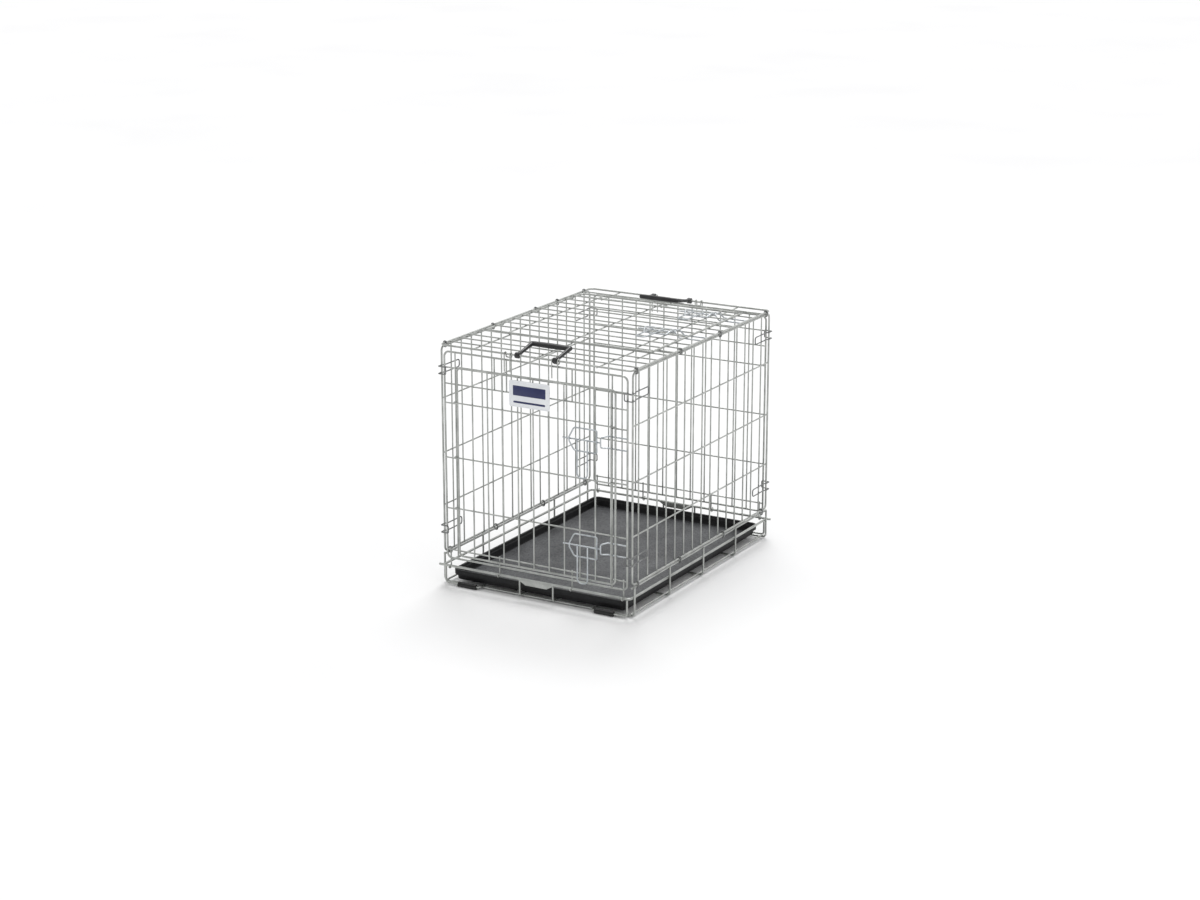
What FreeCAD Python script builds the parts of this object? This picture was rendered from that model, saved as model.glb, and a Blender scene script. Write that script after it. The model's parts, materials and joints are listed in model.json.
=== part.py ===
"""Folding wire kennel crate: welded wire panels on a wire base, with a plastic tray.

Units are millimetres. +Z is up, the door end faces -Y, and the origin lies on the floor
under the middle of the crate. Each panel is laid out flat in its own plane (local x along
the panel, local y up it, local z outward) and is then stood up by its Placement.
"""
import FreeCAD, Part
import Sketcher
import math
import os

os.makedirs("parts", exist_ok=True)
V = FreeCAD.Vector
doc = FreeCAD.newDocument("kennel_crate")

# ---------------------------------------------------------------- driving dimensions
sheet = doc.addObject("Spreadsheet::Sheet", "Sizes")
DIMENSIONS = {
    # wire stock
    "thin_dia": 3.0, "frame_dia": 4.0, "rim_dia": 5.0, "spring_dia": 2.5,
    # base
    "rim_level": 41.0, "rail_level": 62.0, "rim_half_width": 216.3, "rim_half_depth": 300.0,
    "rim_overhang": 9.0, "riser_half_width": 220.4, "riser_pitch": 144.0,
    "cross_level": 3.5, "runner_level": 7.1, "foot_level": 5.0, "foot_runner_x": 130.0,
    "post_x": 210.0, "centre_runner_left": -35.0, "centre_runner_right": 42.0,
    # side panels
    "side_plane": 217.0, "side_half_depth": 292.0, "side_low": 67.5, "side_top": 493.3,
    "side_pitch": 37.5, "side_rods": 15.0,
    # end panels
    "end_plane": 296.0, "end_half_width": 208.0, "end_low": 57.0, "end_sill": 75.0,
    "end_lintel": 421.0, "end_upper": 454.0, "end_top": 486.0, "end_pitch": 34.0,
    "hinge_post": -180.5, "strike_post": 173.0,
    # doors
    "door_hinge_edge": -176.0, "door_free_edge": 184.0, "door_low": 66.0, "door_high": 457.0,
    "door_pitch": 35.0,
    # how far each set of wires stands off the plane of its panel's frame, outward positive
    "cross_lift": 0.4, "upright_lift": -2.4, "post_lift": 3.2, "stub_lift": 0.8,
    "side_rod_lift": -3.2, "side_bar_lift": -0.5,
    "door_frame_lift": 4.4, "door_rod_lift": 3.85, "door_bar_lift": 6.55,
    # latches
    "bolt_lift": 7.2, "bolt_length": 83.5, "bolt_tip": 151.5, "guard_left": 83.0,
    "guard_right": 147.0, "guard_half_height": 23.0, "guard_lift": 10.6,
    "pull_length": 76.0, "pull_width": 23.0, "pull_left": 102.0, "keeper_nose": 155.0,
    # top panel
    "top_plane": 498.0, "top_half_width": 217.0, "top_half_depth": 296.0,
    "hatch_front": -160.0, "hatch_back": 226.0, "hatch_hinge_edge": -197.0, "hatch_post": -201.5,
    # carry handles
    "handle_reach": 56.0, "handle_span": 86.0, "front_handle_left": -37.5, "back_handle_left": -26.5,
    "front_handle_rise": 12.3, "back_handle_rise": 10.6, "grip_width": 12.0, "grip_thick": 10.5,
    "handle_arm": 8.5, "lug_dia": 12.0, "lug_length": 9.0,
    # base details
    "thumb_thick": 3.2, "thumb_drop": 13.0, "sleeve_dia": 10.8, "sleeve_length": 43.0,
    "sleeve_middle": 159.0, "side_runner_x": 212.5,
    # tray
    "tray_half_width": 199.0, "tray_half_depth": 287.0, "tray_floor": 9.3, "tray_rim": 31.0,
    "tray_wall": 2.2, "tray_corner": 12.0, "tray_draft": 10.0, "tray_lip": 3.0, "tray_skirt": 10.0,
    # plate
    "plate_left": -52.0, "plate_low": 397.0, "plate_width": 92.0, "plate_height": 53.0,
    "plate_thick": 1.6,
}
# stations of the wires along each panel, in the panel's own plane
SIDE_BARS = (166.0, 275.0, 388.0)
BASE_RINGS = (-272.0, -98.0, 92.0, 270.0)
TOP_RINGS = {"left": (-279.0, -101.0, 67.0, 155.0, 268.0), "right": (-279.0, -101.0, 67.0, 276.0)}
CLIP_LEVELS = ((109.0, 124.0), (439.0, 454.0))
END_HOOKS = (-200.0, -84.0, 84.0, 200.0)
FRONT_HINGE_STUBS = (162.4, 268.4, 381.4)
FRONT_STRIKE_STUBS = (163.0, 272.0, 381.0)
FRONT_STRUTS = (-93.0, -65.0, 71.0, 84.0)
FRONT_DOOR_BARS = (166.0, 272.0, 385.0)
FRONT_LATCHES = {"front_lower": 134.5, "front_upper": 350.0}
BACK_BARS = (163.0, 272.0, 378.0)
FRONT_ROOF_HOOKS = ((-66.0, -53.0), (42.0, 55.0))
BACK_ROOF_HOOKS = ((-55.0, -42.0), (53.0, 66.0))
ROOF_ROWS = (-265.0, -230.0, -195.0, -152.0, 218.0, 260.0)
ROOF_RODS = (-145.0, 0.0, 140.0)
HATCH_HINGES = (-90.0, 50.0, 190.0)
HATCH_STRIKE_STUBS = (-125.0, -90.0, -55.0, 50.0, 85.0, 120.0)
HATCH_LATCHES = {"top_near": -2.5, "top_far": 172.5}

for row, (alias, value) in enumerate(DIMENSIONS.items(), start=1):
    sheet.set(f"A{row}", alias)
    sheet.set(f"B{row}", str(value))
    sheet.setAlias(f"B{row}", alias)
doc.recompute()


def size(alias):
    return float(getattr(sheet, alias))


GAP = 0.35                      # running clearance between parts that move past each other
THIN, FRAME, RIM, SPRING = (size(a) / 2 for a in ("thin_dia", "frame_dia", "rim_dia", "spring_dia"))

# local panel frames: x along the panel, y up it, z outward
UPRIGHT = FreeCAD.Rotation(V(1, 0, 0), 90)
HALF_TURN = FreeCAD.Rotation(V(0, 0, 1), 180)
SIDEWAYS = FreeCAD.Rotation(V(1, 1, 1), 120)
FRONT = FreeCAD.Placement(V(0, -size("end_plane"), 0), UPRIGHT)
BACK = FreeCAD.Placement(V(0, size("end_plane"), 0), HALF_TURN * UPRIGHT)
RIGHT = FreeCAD.Placement(V(size("side_plane"), 0, 0), SIDEWAYS)
LEFT = FreeCAD.Placement(V(-size("side_plane"), 0, 0), HALF_TURN * SIDEWAYS)
TOP = FreeCAD.Placement(V(0, 0, size("top_plane")), FreeCAD.Rotation())
WORLD = FreeCAD.Placement()
TURNED = FreeCAD.Placement(V(0, 0, 0), HALF_TURN)

ALONG_X = FreeCAD.Rotation(V(0, 1, 0), 90)
ALONG_Y = FreeCAD.Rotation(V(1, 0, 0), -90)
ALONG_Z = FreeCAD.Rotation()

nodes = []


# ---------------------------------------------------------------- building blocks
def rod(name, direction, length, at, dia="thin_dia"):
    """A straight wire: a cylinder whose length, place and radius are expressions on the sheet."""
    wire = doc.addObject("Part::Cylinder", name)
    wire.Placement = FreeCAD.Placement(V(0, 0, 0), direction)
    wire.setExpression("Radius", f"Sizes.{dia} / 2")
    wire.setExpression("Height", length)
    for axis, expression in zip("xyz", at):
        wire.setExpression(f"Placement.Base.{axis}", expression)
    return wire


def rounded_path(points, radii, closed=False):
    """A centreline through the points: straight runs joined by tangent arcs."""
    count = len(points)
    inner = range(count) if closed else range(1, count - 1)
    if not isinstance(radii, (list, tuple)):
        radii = [radii] * count
    ends = {}
    arcs = {}
    for i in inner:
        here = points[i]
        before = (points[i - 1] - here).normalize()
        after = (points[(i + 1) % count] - here).normalize()
        half = before.getAngle(after) / 2
        cut = radii[i] / math.tan(half)
        middle = (before + after).normalize()
        centre = here + middle * (radii[i] / math.sin(half))
        ends[i] = (here + before * cut, here + after * cut)
        arcs[i] = Part.Arc(ends[i][0], centre - middle * radii[i], ends[i][1]).toShape()
    edges = []
    last = count if closed else count - 1
    for i in range(last):
        follow = (i + 1) % count
        start = ends[i][1] if i in ends else points[i]
        stop = ends[follow][0] if follow in ends else points[follow]
        if start.distanceToPoint(stop) > 1e-4:
            edges.append(Part.makeLine(start, stop))
        if follow in arcs:
            edges.append(arcs[follow])
    return edges


def arc_run(centre, first, second, radius, start, stop):
    """An arc edge in the plane of the two unit vectors, from start to stop degrees."""
    def spot(angle):
        turn = math.radians(angle)
        return centre + first * (radius * math.cos(turn)) + second * (radius * math.sin(turn))
    return Part.Arc(spot(start), spot((start + stop) / 2), spot(stop)).toShape()


def bent_wire(name, edges, dia="thin_dia"):
    """A bent wire: a circle swept along a centreline of runs and arcs."""
    path = Part.Wire(edges)
    centreline = doc.addObject("Part::Feature", name + "_line")
    centreline.Shape = path
    first = path.OrderedEdges[0]
    start = first.valueAt(first.FirstParameter)
    heading = first.tangentAt(first.FirstParameter)
    if first.Orientation == "Reversed":
        start = first.valueAt(first.LastParameter)
        heading = first.tangentAt(first.LastParameter) * -1
    section = doc.addObject("Part::Circle", name + "_section")
    section.setExpression("Radius", f"Sizes.{dia} / 2")
    section.Placement = FreeCAD.Placement(start, FreeCAD.Rotation(V(0, 0, 1), heading))
    sweep = doc.addObject("Part::Sweep", name)
    sweep.Sections = [section]
    sweep.Spine = (centreline, [f"Edge{i + 1}" for i in range(len(path.Edges))])
    sweep.Solid = True
    sweep.Frenet = True
    return sweep


def welded(label, pieces, place=WORLD, node=True):
    """Wires welded where they cross: one solid, set in its place."""
    fuse = doc.addObject("Part::MultiFuse", label)
    fuse.Shapes = pieces
    fuse.Refine = False
    fuse.Placement = place
    fuse.Label = label
    if node:
        nodes.append(fuse)
    return fuse


def group(label, pieces, place=WORLD):
    """Identical small pieces kept together in one node as separate solids."""
    bundle = doc.addObject("Part::Compound", label)
    bundle.Links = pieces
    bundle.Placement = place
    bundle.Label = label
    nodes.append(bundle)
    return bundle


def single(label, piece, place=WORLD):
    """One piece that is a node by itself."""
    return group(label, [piece], place)


def rounded_loop(name, left, right, low, high, lift, corner, dia):
    """A closed rectangular wire with rounded corners, lying in a panel's plane."""
    middle = V((left + right) / 2, low, lift)
    path = [middle, V(right, low, lift), V(right, high, lift),
            V(left, high, lift), V(left, low, lift), middle]
    return bent_wire(name, rounded_path(path, [0] + [corner] * 4 + [0]), dia)


def ring_wire(name, bar_end, level, post):
    """A door bar whose hinge end is curled round a post that stands in local y."""
    post_lift, bar_lift = size("post_lift"), size("door_bar_lift")
    straight = Part.makeLine(V(bar_end, level, bar_lift), V(post, level, bar_lift))
    curl = arc_run(V(post, level, post_lift), V(0, 0, 1), V(-1, 0, 0), bar_lift - post_lift, 0, 264)
    return bent_wire(name, [straight, curl])


# ---------------------------------------------------------------- base
def thumb_plate(name):
    """The pressed plate on the rim between the floor runners: straight on top, tapered below."""
    body = doc.addObject("PartDesign::Body", name)
    plane = next(f for f in body.Origin.OriginFeatures if f.Role == "XZ_Plane")
    sketch = body.newObject("Sketcher::SketchObject", name + "_outline")
    sketch.AttachmentSupport = [(plane, "")]
    sketch.MapMode = "FlatFace"
    left, right = size("centre_runner_left") - 2, size("centre_runner_right") + 2
    top, drop, taper = size("rim_level") + 2, size("thumb_drop"), 16.0
    corners = [V(left, top, 0), V(left, top - drop / 3, 0), V(left + taper, top - drop, 0),
               V(right - taper, top - drop, 0), V(right, top - drop / 3, 0), V(right, top, 0)]
    for i, corner in enumerate(corners):
        sketch.addGeometry(Part.LineSegment(corner, corners[(i + 1) % len(corners)]), False)
    pad = body.newObject("PartDesign::Pad", name + "_sheet")
    pad.Profile = sketch
    pad.setExpression("Length", "Sizes.thumb_thick")
    pad.Midplane = True
    body.setExpression("Placement.Base.y", "-Sizes.rim_half_depth")
    return body


def rim_wire(label, place):
    """Half of the rim: an end bar that overhangs one corner, a side bar, and a thumb plate."""
    level = size("rim_level")
    x, y = size("rim_half_width"), size("rim_half_depth")
    reach = x + size("rim_overhang")
    points = [V(-reach, -y, level), V(x, -y, level), V(x, y - RIM - 0.2, level)]
    bar = bent_wire(label + "_bar", rounded_path(points, 9.0), "rim_dia")
    welded(label, [bar, thumb_plate(label + "_thumb")], place)


def side_rail(label, sign):
    """The straight wire that a side panel hinges on."""
    at = (f"{sign} * Sizes.side_plane", "-Sizes.side_half_depth - 2", "Sizes.rail_level")
    single(label, rod(label + "_bar", ALONG_Y, "2 * (Sizes.side_half_depth + 2)", at, "frame_dia"))


def cross_wire(name, station):
    """A U of wire under the floor, its ends welded outside the rim and the rails."""
    x, low, top = size("riser_half_width"), size("cross_level"), size("rail_level") + 1
    y = station * size("riser_pitch")
    points = [V(-x, y, top), V(-x, y, low), V(x, y, low), V(x, y, top)]
    return bent_wire(name, rounded_path(points, 8.0), "frame_dia")


def side_runner(name, sign):
    """A straight wire on top of the cross wires, just inside their risers."""
    at = (f"{sign} * Sizes.side_runner_x", "-2 * Sizes.riser_pitch - 3",
          "Sizes.cross_level + Sizes.frame_dia - 0.2")
    return rod(name, ALONG_Y, "4 * Sizes.riser_pitch + 6", at, "frame_dia")


def runner(name, x):
    """A wire along the floor that rises at both ends to meet the rim."""
    y, low, top = size("rim_half_depth"), size("runner_level"), size("rim_level") - RIM + 0.3
    points = [V(x, -y, top), V(x, -y, low), V(x, y, low), V(x, y, top)]
    return bent_wire(name, rounded_path(points, 6.0), "frame_dia")


def foot_wire(name, sign):
    """A corner post that runs along the floor through its sleeve, then back under the tray."""
    y, top = size("rim_half_depth"), size("rim_level") - RIM + 0.3
    post, inner = sign * size("post_x"), sign * size("foot_runner_x")
    foot, low, slope = size("foot_level"), size("runner_level"), 24.0
    front = [V(post, -y, top), V(post, -y, foot), V(inner, -y, foot), V(inner, slope - y, low)]
    back = [V(p.x, -p.y, p.z) for p in reversed(front)]
    return bent_wire(name, rounded_path(front + back, [0, 6, 7, 40, 40, 7, 6, 0]), "frame_dia")


def sleeve(name, sign_x, sign_y):
    """A rubber tube on the foot wire, moulded flat underneath."""
    body = doc.addObject("PartDesign::Body", name)
    plane = next(f for f in body.Origin.OriginFeatures if f.Role == "YZ_Plane")
    sketch = body.newObject("Sketcher::SketchObject", name + "_section")
    sketch.AttachmentSupport = [(plane, "")]
    sketch.MapMode = "FlatFace"
    outer, foot, bore = size("sleeve_dia") / 2, size("foot_level"), FRAME + 0.05
    flat = math.acos(foot / outer)
    start, stop = -math.pi / 2 + flat, 3 * math.pi / 2 - flat
    circle = Part.Circle(V(0, foot, 0), V(0, 0, 1), outer)
    sketch.addGeometry(Part.ArcOfCircle(circle, start, stop), False)
    half = outer * math.sin(flat)
    sketch.addGeometry(Part.LineSegment(V(-half, 0, 0), V(half, 0, 0)), False)
    sketch.addGeometry(Part.Circle(V(0, foot, 0), V(0, 0, 1), bore), False)
    pad = body.newObject("PartDesign::Pad", name + "_tube")
    pad.Profile = sketch
    pad.setExpression("Length", "Sizes.sleeve_length")
    pad.Midplane = True
    body.setExpression("Placement.Base.x", f"{sign_x} * Sizes.sleeve_middle")
    body.setExpression("Placement.Base.y", f"{sign_y} * Sizes.rim_half_depth")
    return body


def base():
    rim_wire("rim_front", WORLD)
    rim_wire("rim_back", TURNED)
    side_rail("rail_left", -1)
    side_rail("rail_right", 1)
    group("cross_wires", [cross_wire(f"cross_wire_{i + 3}", i) for i in range(-2, 3)])
    group("floor_runners", [runner("runner_left", size("centre_runner_left")),
                            runner("runner_right", size("centre_runner_right"))])
    group("side_runners", [side_runner("side_runner_left", -1), side_runner("side_runner_right", 1)])
    group("foot_wires", [foot_wire("foot_wire_left", -1), foot_wire("foot_wire_right", 1)])
    corners = [(x, y) for x in (-1, 1) for y in (-1, 1)]
    group("foot_sleeves", [sleeve(f"sleeve_{i}", x, y) for i, (x, y) in enumerate(corners)])


# ---------------------------------------------------------------- side panels
def side_panel(label, place):
    depth, low, top = size("side_half_depth"), size("side_low"), size("side_top")
    pieces = [rounded_loop(label + "_frame", -depth, depth, low, top, 0, 9.0, "frame_dia")]
    height = "Sizes.side_top - Sizes.side_low"
    count = int(size("side_rods"))
    for i in range(count):
        at = (f"{i - count // 2} * Sizes.side_pitch", "Sizes.side_low", "Sizes.side_rod_lift")
        pieces.append(rod(f"{label}_rod_{i}", ALONG_Y, height, at))
    for i, level in enumerate(SIDE_BARS):
        at = ("-Sizes.side_half_depth", str(level), "Sizes.side_bar_lift")
        pieces.append(rod(f"{label}_bar_{i}", ALONG_X, "2 * Sizes.side_half_depth", at))
    welded(label, pieces, place)


def hog_rings(label, place, low, high, stations):
    """Closed rings that tie two parallel wires and let one turn about the other."""
    reach = FRAME + 0.3 + SPRING
    rings = []
    for i, u in enumerate(stations):
        edges = [Part.makeLine(V(u, low, reach), V(u, high, reach)),
                 arc_run(V(u, high, 0), V(0, 0, 1), V(0, 1, 0), reach, 0, 180),
                 Part.makeLine(V(u, high, -reach), V(u, low, -reach)),
                 arc_run(V(u, low, 0), V(0, 0, -1), V(0, -1, 0), reach, 0, 180)]
        rings.append(bent_wire(f"{label}_{i}", edges, "spring_dia"))
    group(label, rings, place)


def corner_clips(label, place, way):
    """Two spring hairpins on a side panel's edge, each reaching round an end panel's side."""
    inner, outer = -0.3, FRAME + 0.25 + SPRING
    front, finger = 299.9, -14.0
    clips = []
    for i, (low, high) in enumerate(CLIP_LEVELS):
        def arm(v):
            return [V(way * 281, v, inner), V(way * 287, v, outer), V(way * front, v, outer),
                    V(way * front, v, finger)]
        there = arm(high)
        points = ([V(way * 255, high, inner)] + there + list(reversed(arm(low)))
                  + [V(way * 229, low, inner), V(way * 229, high, inner), V(way * 255, high, inner)])
        radii = [0, 3, 3, 2.6, 2.6, 2.6, 2.6, 3, 3, 5, 5, 0]
        clips.append(bent_wire(f"{label}_{i}", rounded_path(points, radii), "spring_dia"))
    group(label, clips, place)


def sides():
    for label, place, front_way in (("left", LEFT, 1), ("right", RIGHT, -1)):
        side_panel("side_panel_" + label, place)
        hog_rings("base_rings_" + label, place, size("rail_level"), size("side_low"),
                  [-front_way * u for u in BASE_RINGS])
        hog_rings("top_rings_" + label, place, size("side_top"), size("top_plane"),
                  [-front_way * u for u in TOP_RINGS[label]])
        corner_clips("clips_front_" + label, place, front_way)
        corner_clips("clips_back_" + label, place, -front_way)


# ---------------------------------------------------------------- latches
def latch(prefix, place, level, anchor):
    """A slide bolt in its wire guard, its drop pull, and the keeper loop on the frame."""
    low, high = size("door_bar_lift"), size("guard_lift")
    left, right, half = size("guard_left"), size("guard_right"), size("guard_half_height")
    middle = (left + right) / 2
    points = [V(middle, half, low), V(right - 3, half, low), V(right - 1, 8, high + 0.2),
              V(right - 1, -8, high + 0.2), V(right - 3, -half, low), V(left + 10, -half, low),
              V(left + 1.5, -4, high + 0.4), V(left + 1.5, 4, high + 0.4), V(left + 10, half, low),
              V(middle, half, low)]
    raised = [p + V(0, level, 0) for p in points]
    radii = [0, 4, 5, 5, 4, 6, 3, 3, 6, 0]
    single(prefix + "_guard", bent_wire(prefix + "_guard_wire", rounded_path(raised, radii)), place)

    nose, leg = size("keeper_nose"), 0.5
    points = [V(anchor, 13.5, leg), V(nose + 11, 13.5, leg), V(nose, 11, high + 0.9),
              V(nose, -9, high + 0.9), V(nose + 11, -10.5, leg), V(anchor, -10.5, leg)]
    raised = [p + V(0, level, 0) for p in points]
    loop = bent_wire(prefix + "_keeper_wire", rounded_path(raised, [0, 4, 4, 4, 4, 0]))
    single(prefix + "_keeper", loop, place)

    at = ("Sizes.bolt_tip - Sizes.bolt_length", str(level), "Sizes.bolt_lift")
    single(prefix + "_bolt", rod(prefix + "_bolt_rod", ALONG_X, "Sizes.bolt_length", at), place)

    lift = size("bolt_lift") + THIN + 0.3 + THIN
    left, width, drop = size("pull_left"), size("pull_width"), size("pull_length")
    points = [V(left, level - 1, lift), V(left, level - drop, lift),
              V(left + width, level - drop, lift), V(left + width, level - 1, lift)]
    single(prefix + "_pull", bent_wire(prefix + "_pull_wire", rounded_path(points, 9.0)), place)


# ---------------------------------------------------------------- end panels
def bottom_hook(name, u):
    """A hook from an end panel's sill, curled under and round the rim."""
    reach = RIM + GAP + THIN
    axis = size("rim_half_depth") - size("end_plane")
    level = size("rim_level")
    leg = Part.makeLine(V(u, size("end_sill") + 3, axis - reach), V(u, level, axis - reach))
    curl = arc_run(V(u, level, axis), V(0, 0, -1), V(0, -1, 0), reach, 0, 220)
    return bent_wire(name, [leg, curl])


def end_frame(label):
    """The parts that both end panels share: frame, sill, lintel, upper bar and bottom hooks."""
    half = size("end_half_width")
    pieces = [rounded_loop(label + "_frame", -half, half, size("end_low"), size("end_top"),
                           0, 11.0, "frame_dia")]
    for i, level in enumerate(("end_sill", "end_lintel", "end_upper")):
        at = ("-Sizes.end_half_width", f"Sizes.{level}", "Sizes.cross_lift")
        pieces.append(rod(f"{label}_bar_{i}", ALONG_X, "2 * Sizes.end_half_width", at))
    for i, u in enumerate(END_HOOKS):
        pieces.append(bottom_hook(f"{label}_hook_{i}", u))
    return pieces


def front_panel():
    label = "front_panel"
    pieces = end_frame(label)
    height = "Sizes.end_top - Sizes.end_low"
    pieces.append(rod(label + "_hinge_post", ALONG_Y, height,
                      ("Sizes.hinge_post", "Sizes.end_low", "Sizes.post_lift")))
    pieces.append(rod(label + "_strike_post", ALONG_Y, height,
                      ("Sizes.strike_post", "Sizes.end_low", "Sizes.upright_lift")))
    for i, level in enumerate(FRONT_HINGE_STUBS):
        pieces.append(rod(f"{label}_hinge_stub_{i}", ALONG_X, "Sizes.hinge_post + Sizes.end_half_width",
                          ("-Sizes.end_half_width", str(level), "Sizes.stub_lift")))
    for i, level in enumerate(FRONT_STRIKE_STUBS):
        pieces.append(rod(f"{label}_strike_stub_{i}", ALONG_X,
                          "Sizes.end_half_width - Sizes.strike_post",
                          ("Sizes.strike_post", str(level), "Sizes.cross_lift")))
    for i, u in enumerate(FRONT_STRUTS):
        pieces.append(rod(f"{label}_strut_{i}", ALONG_Y, "Sizes.end_top - Sizes.end_lintel",
                          (str(u), "Sizes.end_lintel", "Sizes.upright_lift")))
    welded(label, pieces, FRONT)


def back_panel():
    label = "back_panel"
    pieces = end_frame(label)
    for i in range(-5, 6):
        pieces.append(rod(f"{label}_rod_{i + 6}", ALONG_Y, "Sizes.end_top - Sizes.end_low",
                          (f"{i} * Sizes.end_pitch", "Sizes.end_low", "Sizes.upright_lift")))
    for i, level in enumerate(BACK_BARS):
        pieces.append(rod(f"{label}_cross_{i}", ALONG_X, "2 * Sizes.end_half_width",
                          ("-Sizes.end_half_width", str(level), "Sizes.cross_lift")))
    welded(label, pieces, BACK)


def front_door():
    label = "front_door"
    left, right = size("door_hinge_edge"), size("door_free_edge")
    pieces = [rounded_loop(label + "_frame", left, right, size("door_low"), size("door_high"),
                           size("door_frame_lift"), 9.0, "frame_dia")]
    for i in range(1, 11):
        at = (f"Sizes.door_hinge_edge + {i} * Sizes.door_pitch", "Sizes.door_low",
              "Sizes.door_rod_lift")
        pieces.append(rod(f"{label}_rod_{i}", ALONG_Y, "Sizes.door_high - Sizes.door_low", at))
    for i, level in enumerate(FRONT_DOOR_BARS):
        pieces.append(ring_wire(f"{label}_bar_{i}", right, level, size("hinge_post")))
    welded(label, pieces, FRONT)


def sign_plate():
    """A blank plate snapped on two of the door's uprights by clips moulded on its back."""
    back = size("door_bar_lift") + THIN + 0.25
    clip_width, clip_height, clip_level = 6.5, 8.0, 430.0
    clip_back, corner = size("door_rod_lift") - THIN - 0.25, 4.0
    face = doc.addObject("Part::Box", "plate_face")
    face.setExpression("Length", "Sizes.plate_width")
    face.setExpression("Width", "Sizes.plate_height")
    face.setExpression("Height", "Sizes.plate_thick")
    face.Placement.Base = V(size("plate_left"), size("plate_low"), back)
    rounded = doc.addObject("Part::Fillet", "plate_rounded")
    rounded.Base = face
    doc.recompute()
    rounded.Edges = [(i + 1, corner, corner) for i, edge in enumerate(face.Shape.Edges)
                     if abs(edge.tangentAt(0).z) > 0.9]
    pieces = [rounded]
    bores = []
    for i in (4, 6):
        u = size("door_hinge_edge") + i * size("door_pitch")
        clip = doc.addObject("Part::Box", f"plate_clip_{i}")
        clip.Length = clip_width
        clip.Width = clip_height
        clip.Height = back + 0.5 - clip_back
        clip.Placement.Base = V(u - clip_width / 2, clip_level, clip_back)
        pieces.append(clip)
        bore = rod(f"plate_bore_{i}", ALONG_Y, str(clip_height + 12),
                   (str(u), str(clip_level - 6), "Sizes.door_rod_lift"))
        bore.setExpression("Radius", "Sizes.thin_dia / 2 + 0.05")
        bores.append(bore)
    solid = welded("plate_blank", pieces, node=False)
    drill = welded("plate_bores", bores, node=False)
    plate = doc.addObject("Part::Cut", "sign_plate")
    plate.Base = solid
    plate.Tool = drill
    plate.Placement = FRONT
    plate.Label = "sign_plate"
    nodes.append(plate)


def top_hooks(label, place, stations):
    """Hairpins hung over the top panel's end wire, with their legs in front of the end panel."""
    reach = FRAME + GAP + SPRING
    crest, tail, foot = size("top_plane"), size("top_plane") - 7.0, 463.0
    inward, outward, up = V(0, 0, -1), V(0, 0, 1), V(0, 1, 0)
    pins = []
    for i, (near, far) in enumerate(stations):
        bight = rounded_path([V(near, crest, -reach), V(near, tail, -reach),
                              V(far, tail, -reach), V(far, crest, -reach)], 2.4)
        line = [Part.makeLine(V(near, foot, reach), V(near, crest, reach)),
                arc_run(V(near, crest, 0), outward, up, reach, 0, 180),
                *bight,
                arc_run(V(far, crest, 0), inward, up, reach, 0, 180),
                Part.makeLine(V(far, crest, reach), V(far, foot, reach))]
        pins.append(bent_wire(f"{label}_{i}", line, "spring_dia"))
    group(label, pins, place)


# ---------------------------------------------------------------- top panel
def top_panel():
    label = "top_panel"
    half, depth = size("top_half_width"), size("top_half_depth")
    pieces = [rounded_loop(label + "_frame", -half, half, -depth, depth, 0, 11.0, "frame_dia")]
    near, far = ROOF_ROWS[3], ROOF_ROWS[4]
    for i, v in enumerate(ROOF_ROWS):
        pieces.append(rod(f"{label}_row_{i}", ALONG_X, "2 * Sizes.top_half_width",
                          ("-Sizes.top_half_width", str(v), "Sizes.cross_lift")))
    for i, u in enumerate(ROOF_RODS):
        for end, start, stop in (("front", -depth, near), ("back", far, depth)):
            pieces.append(rod(f"{label}_{end}_rod_{i}", ALONG_Y, str(stop - start),
                              (str(u), str(start), "Sizes.upright_lift")))
    pieces.append(rod(label + "_hinge_post", ALONG_Y, str(far - near),
                      ("Sizes.hatch_post", str(near), "Sizes.post_lift")))
    pieces.append(rod(label + "_strike_post", ALONG_Y, str(ROOF_ROWS[5] - ROOF_ROWS[2]),
                      ("Sizes.strike_post", str(ROOF_ROWS[2]), "Sizes.upright_lift")))
    beside_ring = size("thin_dia") + 0.6
    for i, v in enumerate(HATCH_HINGES):
        pieces.append(rod(f"{label}_hinge_stub_{i}", ALONG_X, "Sizes.top_half_width + Sizes.hatch_post",
                          ("-Sizes.top_half_width", str(v - beside_ring), "Sizes.stub_lift")))
    for i, v in enumerate(HATCH_STRIKE_STUBS):
        pieces.append(rod(f"{label}_strike_stub_{i}", ALONG_X,
                          "Sizes.top_half_width - Sizes.strike_post",
                          ("Sizes.strike_post", str(v), "Sizes.cross_lift")))
    welded(label, pieces, TOP)


def top_door():
    label = "top_door"
    left, right = size("hatch_hinge_edge"), size("door_free_edge")
    pieces = [rounded_loop(label + "_frame", left, right, size("hatch_front"), size("hatch_back"),
                           size("door_frame_lift"), 9.0, "frame_dia")]
    for i, u in enumerate(ROOF_RODS):
        pieces.append(rod(f"{label}_rod_{i}", ALONG_Y, "Sizes.hatch_back - Sizes.hatch_front",
                          (str(u), "Sizes.hatch_front", "Sizes.door_rod_lift")))
    for i in range(1, 11):
        v = size("hatch_front") + i * size("door_pitch")
        if v in HATCH_HINGES:
            pieces.append(ring_wire(f"{label}_bar_{i}", right, v, size("hatch_post")))
        else:
            pieces.append(rod(f"{label}_bar_{i}", ALONG_X,
                              "Sizes.door_free_edge - Sizes.hatch_hinge_edge",
                              ("Sizes.hatch_hinge_edge", str(v), "Sizes.door_bar_lift")))
    welded(label, pieces, TOP)


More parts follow.
